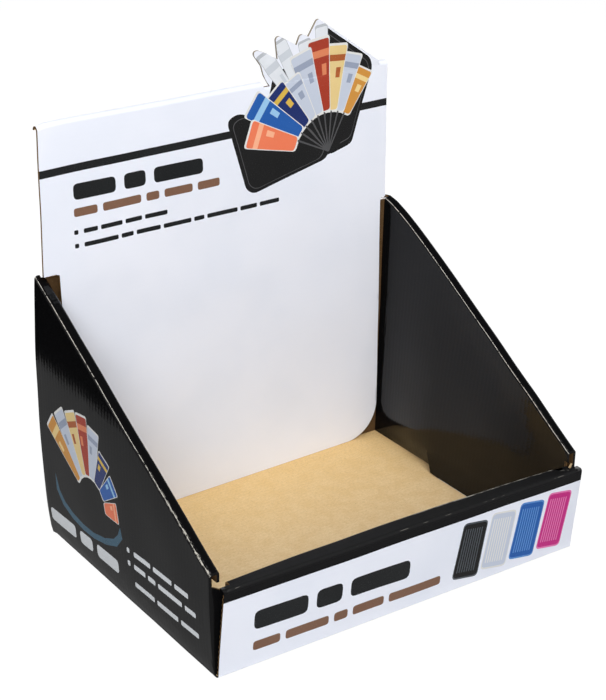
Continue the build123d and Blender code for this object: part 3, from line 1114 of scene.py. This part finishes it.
@dataclass
class FluteEdges:
    """Wavy medium that shows along the cut edges that run across the flutes."""

    card: Card
    bows: Bows
    step: float = 0.45
    wave: float = 0.42
    wire: float = 0.15

    def runs(self) -> list[tuple[Vector, Vector]]:
        """Both ends of each cut edge, in the middle of the card."""
        card = self.card
        half = card.board / 2
        low, high = card.shoulder + 1.5, 250.5
        narrow_low, narrow_high = 27.5, card.shoulder - 1.5
        runs = []
        for x, foot, top in (
            (card.header_left, low, high),
            (118.6, low, high),
            (-111.4, narrow_low, narrow_high),
            (114.8, narrow_low, narrow_high),
        ):
            runs.append(tuple(Vector((x, card.header_front(z) + half, z)) for z in (foot, top)))
        for x in (-116.0, 116.0):
            runs.append(tuple(Vector((x, card.half_depth - half, z)) for z in (4.0, high)))
        for x in (-120.3, 122.3):
            leans = ((card.front_lean * z / card.front_height, z) for z in (3.0, 52.5))
            runs.append(tuple(Vector((x, half - card.half_depth - lean, z)) for lean, z in leans))
        spread = card.front_foot + card.front_lean - card.front_strip
        for x in (-114.6, 116.6):
            reaches = ((card.front_foot - spread * z / card.front_height, z) for z in (9.0, 52.5))
            runs.append(tuple(Vector((x, reach - card.half_depth - half, z)) for reach, z in reaches))
        for hand in (-1, 1):
            for y, z, near, far in (
                (half - card.wall_back, 52.8, 64.5, 118.6),
                (card.wall_back - half, 163.4, 68.0, 119.0),
                (card.wall_back - half, 3.4, 68.0, 118.0),
            ):
                runs.append(tuple(Vector((hand * x, y, z)) for x in (near, far)))
        return runs

    def build(self, material: bpy.types.Material) -> bpy.types.Object:
        """Build the waves along every cut edge.

        Args:
            material: The finish of the medium.

        Returns:
            The finished object.
        """
        places, lengths, edges = [], [], []
        for start, end in self.runs():
            count = max(2, int((end - start).length / self.step))
            first = len(places)
            for i in range(count + 1):
                places.append(start.lerp(end, i / count))
                lengths.append((end - start).length * i / count)
            edges += [(i, i + 1) for i in range(first, first + count)]
        moved = self.bows.move(np.array(places))
        data = bpy.data.meshes.new("flute_paths")
        data.from_pydata([tuple(p * MM) for p in moved], edges, [])
        data.attributes.new("run", "FLOAT", "POINT").data.foreach_set("value", lengths)
        paths = bpy.data.objects.new("flute_paths", data)
        bpy.context.scene.collection.objects.link(paths)
        modifier = paths.modifiers.new("flutes", "NODES")
        modifier.node_group = self.tree(material)
        values = {
            "Pitch": self.card.flute_pitch,
            "Wave": self.wave * MM,
            "Wire": self.wire * MM,
        }
        for item in modifier.node_group.interface.items_tree:
            if item.name in values:
                modifier[item.identifier] = values[item.name]
        shape = bpy.data.meshes.new_from_object(paths.evaluated_get(bpy.context.evaluated_depsgraph_get()))
        bpy.data.objects.remove(paths)
        shape.name = "cut_edge_flutes"
        piece = bpy.data.objects.new("cut_edge_flutes", shape)
        bpy.context.scene.collection.objects.link(piece)
        return piece

    def tree(self, material: bpy.types.Material) -> bpy.types.NodeTree:
        """Geometry Nodes that swing each path along Y and give it its thickness."""
        tree = bpy.data.node_groups.new("flutes", "GeometryNodeTree")
        tree.interface.new_socket("Geometry", in_out="INPUT", socket_type="NodeSocketGeometry")
        for name in ("Pitch", "Wave", "Wire"):
            tree.interface.new_socket(name, in_out="INPUT", socket_type="NodeSocketFloat")
        tree.interface.new_socket("Geometry", in_out="OUTPUT", socket_type="NodeSocketGeometry")

        def add(kind: str, settings: dict | None = None) -> bpy.types.Node:
            """Add one node and set its own properties."""
            node = tree.nodes.new(kind)
            for key, value in (settings or {}).items():
                setattr(node, key, value)
            return node

        source = add("NodeGroupInput")
        run = add("GeometryNodeInputNamedAttribute", {"data_type": "FLOAT"})
        run.inputs["Name"].default_value = "run"
        share = add("ShaderNodeMath", {"operation": "DIVIDE"})
        turn = add("ShaderNodeMath", {"operation": "MULTIPLY"})
        turn.inputs[1].default_value = 2 * math.pi
        sine = add("ShaderNodeMath", {"operation": "SINE"})
        swing = add("ShaderNodeMath", {"operation": "MULTIPLY"})
        offset = add("ShaderNodeVectorMath", {"operation": "SCALE"})
        offset.inputs[0].default_value = (0.0, 1.0, 0.0)
        place = add("GeometryNodeSetPosition")
        curve = add("GeometryNodeMeshToCurve")
        profile = add("GeometryNodeCurvePrimitiveCircle")
        profile.inputs["Resolution"].default_value = 5
        solid = add("GeometryNodeCurveToMesh")
        solid.inputs["Fill Caps"].default_value = True
        realize = add("GeometryNodeRealizeInstances")
        paint = add("GeometryNodeSetMaterial")
        paint.inputs["Material"].default_value = material
        result = add("NodeGroupOutput")
        links = (
            (run.outputs["Attribute"], share.inputs[0]),
            (source.outputs["Pitch"], share.inputs[1]),
            (share.outputs[0], turn.inputs[0]),
            (turn.outputs[0], sine.inputs[0]),
            (sine.outputs[0], swing.inputs[0]),
            (source.outputs["Wave"], swing.inputs[1]),
            (swing.outputs[0], offset.inputs["Scale"]),
            (source.outputs["Geometry"], place.inputs["Geometry"]),
            (offset.outputs[0], place.inputs["Offset"]),
            (place.outputs["Geometry"], curve.inputs[0]),
            (source.outputs["Wire"], profile.inputs["Radius"]),
            (curve.outputs[0], solid.inputs["Curve"]),
            (profile.outputs["Curve"], solid.inputs["Profile Curve"]),
            (solid.outputs[0], realize.inputs[0]),
            (realize.outputs[0], paint.inputs["Geometry"]),
            (paint.outputs[0], result.inputs[0]),
        )
        for output, target in links:
            tree.links.new(output, target)
        return tree


@dataclass(frozen=True)
class WhitePrint:
    """Coated white litho paper on thin flutes."""

    name: str = "white_print"
    colour: Colour = linear(238, 241, 251)
    shade: Colour = linear(233, 237, 248)
    roughness: float = 0.34
    washboard: float = 0.005

    def make(self, card: Card) -> bpy.types.Material:
        """Make the material."""
        g = Graph(self.name)
        x, y, z = g.rest()
        place = g.vector(x, y, z)
        across = (y + z).sine(card.flute_pitch)
        cloud = g.noise(place, 0.02, 2.0)
        grain = g.noise(place, 1.6, 3.0, 0.6)
        colour = g.mix(cloud.ramp(0.35, 0.7), self.colour, self.shade)
        height = across + (grain - 0.5) * 0.5
        rough = self.roughness + (g.noise(place, 0.09, 2.0) - 0.5) * 0.12
        return g.finish(
            Base_Color=colour, Roughness=rough, IOR=1.46, Normal=g.bump(height, self.washboard)
        )


@dataclass(frozen=True)
class Ink:
    """One flat ink under the same gloss."""

    name: str
    colour: Colour
    lift: float = 0.04
    roughness: float = 0.26
    washboard: float = 0.006

    def make(self, card: Card) -> bpy.types.Material:
        """Make the material."""
        g = Graph(self.name)
        x, y, z = g.rest()
        place = g.vector(x, y, z)
        light = tuple(c + (1 - c) * c**0.5 * self.lift for c in self.colour)
        fade = g.noise(place, 0.035, 1.0).ramp(0.25, 0.75)
        grain = g.noise(place, 2.2, 2.0)
        height = (y + z).sine(card.flute_pitch) + (grain - 0.5) * 0.4
        rough = self.roughness + (grain - 0.5) * 0.08
        return g.finish(
            Base_Color=g.mix(fade, self.colour, light),
            Roughness=rough,
            IOR=1.46,
            Normal=g.bump(height, self.washboard),
        )


@dataclass(frozen=True)
class BlackPrint:
    """Solid glossy black ink, with lines along its creases that are partly ink cracked to the paper and
    partly painted highlight.
    """

    name: str = "black_print"
    colour: Colour = (0.0042, 0.0042, 0.0046)
    # Colour of the crease lines: the paper where the ink cracked, which also stands as painted highlight.
    paper: Colour = linear(196, 192, 182)
    roughness: float = 0.1
    dull: float = 0.5
    ior: float = 1.28
    washboard: float = 0.012

    def crack_and_highlight(
        self, card: Card, rest: tuple[Term, Term, Term], hand: int, strip: float = 0.0, width: float = 0.34
    ) -> Term:
        """Mask of the line along one crease of a side wall, partly cracked ink and partly painted
        highlight.

        Args:
            card: The sheet's sizes.
            rest: Rest place as X, Y and Z.
            hand: 1 for the right wall and -1 for the left.
            strip: 0 for the outer crease, or the strip's width for the inner one.
            width: The line's width.

        Returns:
            The mask, 1 on the line.
        """
        x, y, z = rest
        flare = card.right_flare if hand > 0 else card.left_flare
        run = (card.wall_back - y) * (1 / (2 * card.wall_back))
        edge = run * (flare[0] - flare[1]) + (card.half_width + flare[1] - strip)
        top = card.side_back - run * (card.side_back - card.side_front)
        in_by = (edge - x * hand) * (1 if strip == 0 else -1)
        return self.line(in_by, top - z, width)

    def line(self, in_by: Term, down_by: Term, width: float) -> Term:
        """Mask of a line along a square crease, from the distances to its two faces."""
        near = 1.0 - abs(in_by - down_by).ramp(width * 0.4, width)
        return near * (abs(in_by) + abs(down_by)).ramp(3.0, 2.0)

    def side_cracks_and_highlights(self, card: Card, rest: tuple[Term, Term, Term], line_breaks: Term, glints: Term) -> Term:
        """Mask of the lines along the side walls' creases, partly cracked ink and partly painted
        highlight, with painted highlights at the left one's front end.

        Args:
            card: The sheet's sizes.
            rest: Rest place as X, Y and Z.
            line_breaks: Broad noise that breaks the lines up.
            glints: Fine noise that breaks the lines up.

        Returns:
            The mask.
        """
        strip = card.side_strip
        run = (card.wall_back - rest[1]) * (1 / (2 * card.wall_back))
        left_outer = self.crack_and_highlight(card, rest, -1) * glints.ramp(0.36, 0.5)
        left_inner = self.crack_and_highlight(card, rest, -1, strip) * line_breaks.ramp(0.6, 0.7) * 0.5
        right_outer = self.crack_and_highlight(card, rest, 1) * line_breaks.ramp(0.55, 0.65) * 0.6
        right_inner = self.crack_and_highlight(card, rest, 1, strip) * line_breaks.ramp(0.34, 0.5)
        # Painted highlights: wide bright marks on the left wall's outer crease towards its front end.
        left_end_highlights = self.crack_and_highlight(card, rest, -1, width=1.3) * run.ramp(0.6, 0.98) * glints.ramp(0.5, 0.6)
        return left_outer.most(left_inner).most(right_outer).most(right_inner).most(left_end_highlights)

    def make(self, card: Card) -> bpy.types.Material:
        """Make the material."""
        g = Graph(self.name)
        rest = g.rest()
        x, y, z = rest
        place = g.vector(x, y, z)
        line_breaks = g.noise(g.vector(x * 0.3, y, z), 0.33, 3.0, 0.6)
        fine = g.noise(place, 2.4, 2.0)
        glints = g.noise(g.vector(x, y * 0.3, z * 0.3), 1.1, 3.0, 0.7)
        lip = y + (card.half_depth + card.front_lean)
        inner_lip = card.front_strip - lip
        down = card.front_height - z
        between_walls = abs(x).ramp(118.6, 118.0)
        # Painted highlights along the front wall's top strip: a faint line at its outer crease and a
        # broken line by its inner crease, wider towards the right.
        outer = self.line(lip, down, 0.3) * line_breaks.ramp(0.56, 0.66) * 0.2
        thin = self.line(inner_lip - 0.5, down, 0.45) * line_breaks.ramp(0.24, 0.4)
        wide = self.line(inner_lip - 1.1, down, 0.9) * x.ramp(-30.0, 60.0) * line_breaks.ramp(0.42, 0.56)
        inner = thin.most(wide) * between_walls * 0.8
        # All crease lines together, partly cracked ink and partly painted highlight, in the paper's
        # colour.
        cracks_and_highlights = self.side_cracks_and_highlights(card, rest, line_breaks, glints).most(outer).most(inner)
        fold = down.ramp(3.0, 2.0) * lip.ramp(card.front_strip + 1.0, card.front_strip)
        dull = fold * lip.ramp(-3.0, 0.4) * between_walls * self.dull
        side_wall = abs(x).ramp(card.inner_near, card.inner_near + 1.0)
        across = y + z * (1 - side_wall)
        scuffs = g.noise(g.vector(x, y * 0.25, z), 0.5, 4.0, 0.7).ramp(0.62, 0.8)
        dust = fine.ramp(0.72, 0.8) * 0.006
        base = g.mix(dust, self.colour, (0.3, 0.3, 0.3))
        height = across.sine(card.flute_pitch) * 0.6 + (g.noise(place, 0.7, 2.0) - 0.5) * 1.4
        return g.finish(
            Base_Color=g.mix(cracks_and_highlights, base, self.paper),
            Roughness=self.roughness + scuffs * 0.12 + cracks_and_highlights * 0.4 + dull,
            IOR=self.ior,
            Normal=g.bump(height, self.washboard),
        )


@dataclass(frozen=True)
class KraftLiner:
    """Plain brown liner paper with its fibres, flecks and the faint lines of the flutes, and a painted
    bounce light towards the back.
    """

    name: str = "kraft"
    colour: Colour = linear(222, 193, 148)
    pale: Colour = linear(231, 206, 164)
    dark: Colour = linear(197, 164, 115)
    # Painted bounce light: colour and share of the yellower, brighter tint towards the back.
    painted_bounce: Colour = linear(243, 199, 118)
    painted_bounce_share: float = 0.5
    flecks: float = 0.6
    roughness: float = 0.78

    def make(self, card: Card) -> bpy.types.Material:
        """Make the material."""
        g = Graph(self.name)
        x, y, z = g.rest()
        place = g.vector(x, y, z)
        drawn = g.vector(x * 0.45, y, z)
        fibre = g.noise(drawn, 1.3, 4.0, 0.65)
        cloud = g.noise(place, 0.11, 4.0, 0.6)
        fleck = g.noise(g.vector(x * 0.5, y, z), 1.9, 1.0)
        base = g.mix(cloud.ramp(0.3, 0.7), self.colour, self.pale)
        # Painted bounce light: the liner turns yellower and brighter towards the back, where light thrown
        # back by the header falls.
        base = g.mix(y.ramp(-60.0, 95.0) * self.painted_bounce_share, base, self.painted_bounce)
        base = g.mix(fibre.ramp(0.4, 0.72) * 0.5, base, self.dark)
        base = g.mix(g.noise(place, 2.8, 3.0, 0.7).ramp(0.45, 0.65) * 0.22, base, self.dark)
        base = g.mix(fleck.ramp(0.69, 0.76) * self.flecks, base, linear(140, 104, 62))
        base = g.mix(fleck.ramp(0.3, 0.24) * self.flecks * 0.6, base, linear(236, 216, 178))
        line = (y + z).sine(card.flute_pitch)
        base = g.mix((line * 0.5 + 0.5) * 0.1, base, self.dark)
        height = line * 0.5 + fibre * 0.9 + g.noise(place, 3.5, 2.0) * 0.35
        return g.finish(
            Base_Color=base,
            Roughness=self.roughness + (fibre - 0.5) * 0.15,
            Specular_IOR_Level=0.35,
            Normal=g.bump(height, 0.05),
        )


def shaded_liner() -> KraftLiner:
    """The liner darkened to a deep brown as painted shade, for the flaps between the header and the back
    wall and the liner inside the turned-over walls.
    """
    # Painted shade: a deep brown liner with no bounce tint and fewer flecks.
    brown = linear(84, 60, 31)
    return KraftLiner("kraft_shaded", brown, linear(96, 70, 38), linear(66, 46, 23), brown, 0.0, 0.3)


@dataclass(frozen=True)
class CutEdge:
    """Die-cut edge: two liners darker than the liner paper, partly the cut fibres' own colour and partly
    painted shade, with a dark painted shade in the fluted gap between them.
    """

    name: str = "cut_edge"
    liner: Colour = linear(146, 112, 70)
    hollow_shade: Colour = linear(58, 42, 26)
    roughness: float = 0.9

    def make(self, card: Card) -> bpy.types.Material:
        """Make the material."""
        g = Graph(self.name)
        x, y, z = g.rest()
        place = g.vector(x, y, z)
        ply = g.add("ShaderNodeAttribute", {"attribute_name": "ply"}, "Fac")
        fibre = g.noise(place, 1.8, 4.0, 0.7)
        inside = abs(ply - 0.5).ramp(0.4, 0.3)
        # Painted shade: the middle of the edge, between the two liners, darkens where the gaps between the
        # flutes lie in shade.
        base = g.mix(inside * (fibre * 0.5 + 0.6), self.liner, self.hollow_shade)
        return g.finish(
            Base_Color=base,
            Roughness=self.roughness,
            Specular_IOR_Level=0.25,
            Normal=g.bump(fibre, 0.12),
        )


@dataclass(frozen=True)
class Medium:
    """Rough brown paper of the flutes."""

    name: str = "flute_medium"
    colour: Colour = linear(150, 114, 70)
    dark: Colour = linear(112, 82, 48)
    roughness: float = 0.92

    def make(self, card: Card) -> bpy.types.Material:
        """Make the material."""
        g = Graph(self.name)
        place = g.add("ShaderNodeTexCoord", None, "Object")
        fibre = g.noise(place, 900.0, 3.0, 0.7)
        return g.finish(
            Base_Color=g.mix(fibre, self.dark, self.colour),
            Roughness=self.roughness,
            Specular_IOR_Level=0.25,
            Normal=g.bump(fibre, 0.05),
        )


@dataclass(frozen=True)
class Lamp:
    """One soft lamp that points at the stand."""

    name: str
    place: tuple[float, float, float]
    size: float
    power: float

    def hang(self) -> None:
        """Hang the lamp."""
        data = bpy.data.lights.new(self.name, "AREA")
        data.size = self.size
        data.energy = self.power
        lamp = bpy.data.objects.new(self.name, data)
        bpy.context.scene.collection.objects.link(lamp)
        turn = (Vector((0, 0, 0.1)) - Vector(self.place)).to_track_quat("-Z", "Y")
        lamp.matrix_world = Matrix.Translation(self.place) @ turn.to_matrix().to_4x4()


@dataclass
class Studio:
    """Camera, floor, lamps and backdrop."""

    lamps: tuple[Lamp, ...] = (
        Lamp("key_softbox", (0.0, -0.9, 1.9), 1.3, 25.0),
        Lamp("front_softbox", (-1.2, -1.85, 1.05), 1.1, 32.0),
        Lamp("rim_softbox", (-0.9, 1.2, 1.0), 0.6, 6.0),
    )
    place: tuple[float, float, float] = (-0.55276, -0.80688, 0.56329)
    yaw: float = -34.2152
    pitch: float = 24.2195
    roll: float = 0.0867
    lens: float = 96.869
    ambient: float = 0.24
    floor_glow: float = 0.82
    glow_strength: float = 1.12
    floor_dim: tuple[float, float] = (0.66, 0.5)
    dark_line: tuple[Point2, Point2] = ((-0.2500, 0.2906), (-0.2575, 0.2384))

    def build(self) -> None:
        """Set the studio up."""
        bpy.context.scene.view_settings.view_transform = "Standard"
        self.camera()
        self.floor()
        self.dark_card()
        self.backdrop()
        for lamp in self.lamps:
            lamp.hang()

    def camera(self) -> None:
        """Make the camera at the photographed viewing angle."""
        yaw, pitch, roll = (math.radians(a) for a in (self.yaw, self.pitch, self.roll))
        level = Vector((-math.sin(yaw), math.cos(yaw), 0))
        view = level * math.cos(pitch) + Vector((0, 0, -math.sin(pitch)))
        right = Vector((math.cos(yaw), math.sin(yaw), 0))
        up = right.cross(view)
        cosine, sine = math.cos(roll), math.sin(roll)
        right, up = right * cosine + up * sine, up * cosine - right * sine
        data = bpy.data.cameras.new("camera")
        data.lens = self.lens
        data.sensor_width = 36.0
        camera = bpy.data.objects.new("camera", data)
        bpy.context.scene.collection.objects.link(camera)
        turn = Matrix((right, up, -view)).transposed()
        camera.matrix_world = Matrix.Translation(self.place) @ turn.to_4x4()
        bpy.context.scene.camera = camera

    def floor(self) -> None:
        """Lay a pale floor that keeps the stand's shadow."""
        mesh = bmesh.new()
        bmesh.ops.create_grid(mesh, x_segments=1, y_segments=1, size=4.0)
        data = bpy.data.meshes.new("floor")
        mesh.to_mesh(data)
        mesh.free()
        floor = bpy.data.objects.new("floor", data)
        bpy.context.scene.collection.objects.link(floor)
        g = Graph("floor_paper")
        seen = self.seen(g)
        plain = g.add("ShaderNodeBsdfDiffuse", None, 0, Color=(0.86, 0.86, 0.86))
        glow = g.add("ShaderNodeEmission", None, 0, Color=WHITE, Strength=self.glow_strength)
        mixed = g.add("ShaderNodeMixShader", None, 0, in0=seen * self.floor_glow, in1=plain, in2=glow)
        path = g.add("ShaderNodeLightPath", None, "Is Glossy Ray")
        scattered = Term(g, path.socket.node.outputs["Is Diffuse Ray"])
        dim = (path * self.floor_dim[0]).most(scattered * self.floor_dim[1])
        dark = g.add("ShaderNodeBsdfDiffuse", None, 0, Color=BLACK)
        mixed = g.add("ShaderNodeMixShader", None, 0, in0=dim, in1=mixed, in2=dark)
        out = g.tree.nodes.new("ShaderNodeOutputMaterial")
        g.tree.links.new(mixed.socket, out.inputs["Surface"])
        data.materials.append(g.material)

    def dark_card(self) -> None:
        """Lay a black card on the floor behind, on the left, which only the gloss reflects."""
        start, end = (Vector((*p, 0.0)) for p in self.dark_line)
        along = (end - start).normalized()
        away = Vector((along.y, -along.x, 0.0)) * 2.0
        back, front = start - along * 1.5, start + along * 0.9
        lift = Vector((0, 0, MM))
        corners = [tuple(c + lift) for c in (back, front, front + away, back + away)]
        data = bpy.data.meshes.new("dark_card")
        data.from_pydata(corners, [], [(0, 1, 2, 3)])
        card = bpy.data.objects.new("dark_card", data)
        bpy.context.scene.collection.objects.link(card)
        card.visible_camera = False
        card.visible_diffuse = False
        card.visible_shadow = False
        card.visible_transmission = False
        g = Graph("dark_card")
        black = g.add("ShaderNodeBsdfDiffuse", None, 0, Color=BLACK)
        out = g.tree.nodes.new("ShaderNodeOutputMaterial")
        g.tree.links.new(black.socket, out.inputs["Surface"])
        data.materials.append(g.material)

    def seen(self, g: Graph) -> Term:
        """1 for rays by which the background is seen, straight, mirrored or through glass."""
        path = g.add("ShaderNodeLightPath", None, "Is Camera Ray")
        node = path.socket.node
        mirrored = Term(g, node.outputs["Is Glossy Ray"])
        through = Term(g, node.outputs["Is Transmission Ray"])
        return path.most(mirrored).most(through)

    def backdrop(self) -> None:
        """Make the world white where it is seen, dark high up in the gloss, and a soft light elsewhere."""
        world = bpy.data.worlds.new("backdrop")
        world.use_nodes = True
        bpy.context.scene.world = world
        g = Graph.__new__(Graph)
        g.tree = world.node_tree
        g.tree.nodes.clear()
        path = g.add("ShaderNodeLightPath", None, "Is Camera Ray")
        node = path.socket.node
        mirrored = Term(g, node.outputs["Is Glossy Ray"])
        way = g.add("ShaderNodeTexCoord", None, "Generated")
        split = g.add("ShaderNodeSeparateXYZ", None, 2, in0=way)
        high = mirrored * split.ramp(0.42, 0.72)
        light = g.add("ShaderNodeBackground", None, 0, Color=(0.95, 0.97, 1.0), Strength=self.ambient)
        white = g.add("ShaderNodeBackground", None, 0, Color=WHITE, Strength=1.0)
        black = g.add("ShaderNodeBackground", None, 0, Color=BLACK, Strength=1.0)
        mixed = g.add("ShaderNodeMixShader", None, 0, in0=self.seen(g), in1=light, in2=white)
        mixed = g.add("ShaderNodeMixShader", None, 0, in0=high, in1=mixed, in2=black)
        out = g.tree.nodes.new("ShaderNodeOutputWorld")
        g.tree.links.new(mixed.socket, out.inputs["Surface"])


def inks() -> list[Ink]:
    """Every flat ink of the print, with the paler or darker one of each card's band."""
    colours = {
        "black_ink": (13, 16, 18),
        "brown_ink": (122, 88, 68),
        "white_ink": (226, 230, 234),
        "plate_ink": (9, 9, 10),
        "plate_line_ink": (74, 74, 76),
        "slate_ink": (70, 76, 82),
        "rim_ink": (226, 226, 224),
        "amber_ink": (206, 142, 58),
        "band_amber_ink": (238, 208, 140),
        "silver_ink": (196, 204, 220),
        "band_silver_ink": (150, 160, 182),
        "cream_ink": (230, 202, 138),
        "band_cream_ink": (170, 88, 40),
        "red_ink": (164, 52, 30),
        "band_red_ink": (222, 128, 86),
        "navy_ink": (20, 40, 102),
        "band_navy_ink": (214, 178, 74),
        "blue_ink": (28, 88, 168),
        "band_blue_ink": (150, 196, 232),
        "coral_ink": (238, 122, 84),
        "band_coral_ink": (250, 178, 140),
        "sky_ink": (84, 140, 206),
        "magenta_ink": (196, 34, 126),
        "pink_ink": (226, 116, 176),
        "arc_ink": (48, 88, 110),
        "sheet_ink": (226, 230, 236),
        "band_sheet_ink": (204, 210, 218),
        "sheet_rim_ink": (186, 190, 196),
    }
    return [Ink(name, linear(*colour)) for name, colour in colours.items()]


def main() -> None:
    """Build the stand's looks and its studio."""
    logging.basicConfig(level=logging.INFO, format="%(message)s")
    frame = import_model()
    card = Card()
    bows = Bows(card)
    # The raised outline's cut edges: pale liners with a darker painted shade between them.
    raised = CutEdge("raised_edge", linear(196, 188, 176), linear(128, 116, 100))
    finishes = [WhitePrint(), BlackPrint(), KraftLiner(), shaded_liner(), CutEdge(), raised, *inks()]
    materials = {finish.name: finish.make(card) for finish in finishes}
    patches = {Panel.HEADER: header_print(), Panel.FRONT: front_print(), Panel.LEFT: left_print()}
    sheet = Sheet(card, bows).build(frame["nodes"][NODE], materials, patches)
    LOG.info("sheet: %d faces", len(sheet.data.polygons))
    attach(sheet, "root")
    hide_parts(NODE)
    flutes = FluteEdges(card, bows).build(Medium().make(card))
    LOG.info("flutes: %d faces", len(flutes.data.polygons))
    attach(flutes, "root")
    Studio().build()


if __name__ == "__main__":
    main()
